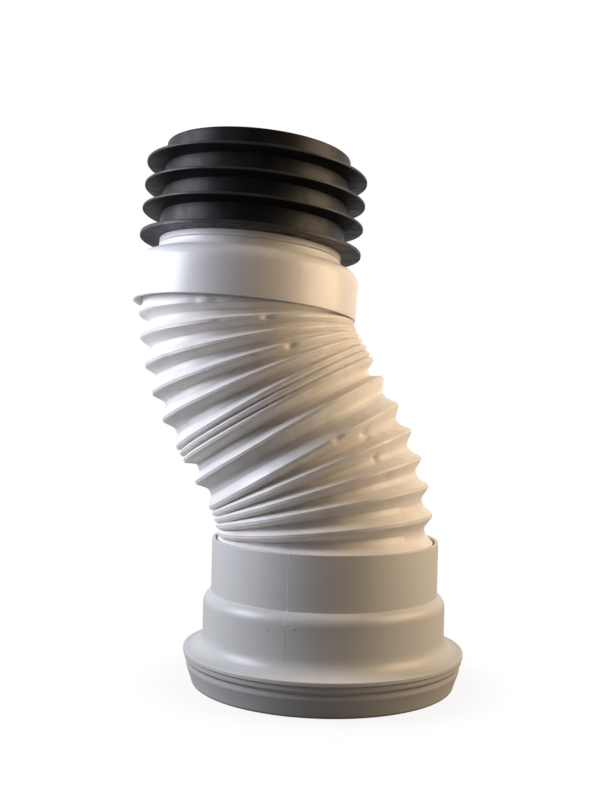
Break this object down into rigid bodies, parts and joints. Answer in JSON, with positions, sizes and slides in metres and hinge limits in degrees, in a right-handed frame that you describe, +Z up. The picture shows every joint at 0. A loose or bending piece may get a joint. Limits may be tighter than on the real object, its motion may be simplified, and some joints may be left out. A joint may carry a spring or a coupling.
{
  "type": "toilet pan connector",
  "caption": "Flexible pan connector: flanged bell with lip seal, folded tube bent sideways, and a spigot with a finned rubber sleeve.",
  "frame": {"origin": "centre of the pan seal's resting face, on the bell's axis", "axes": "+Z up along the bell's axis; the folded tube swings towards -X and leans a little towards +Y"},
  "size_m": [0.1719, 0.1418, 0.2734],
  "materials": {
    "white_shell": "satin moulded",
    "white_tube": "soft satin, creased",
    "pale_seal": "matt",
    "black_rubber": "dull sheen"
  },
  "bodies": {
    "root": {"socket": "white_shell", "pan_seal": "pale_seal", "bellows": "white_tube", "spigot": "white_shell", "fin_seal": "black_rubber"}
  },
  "joints": []
}
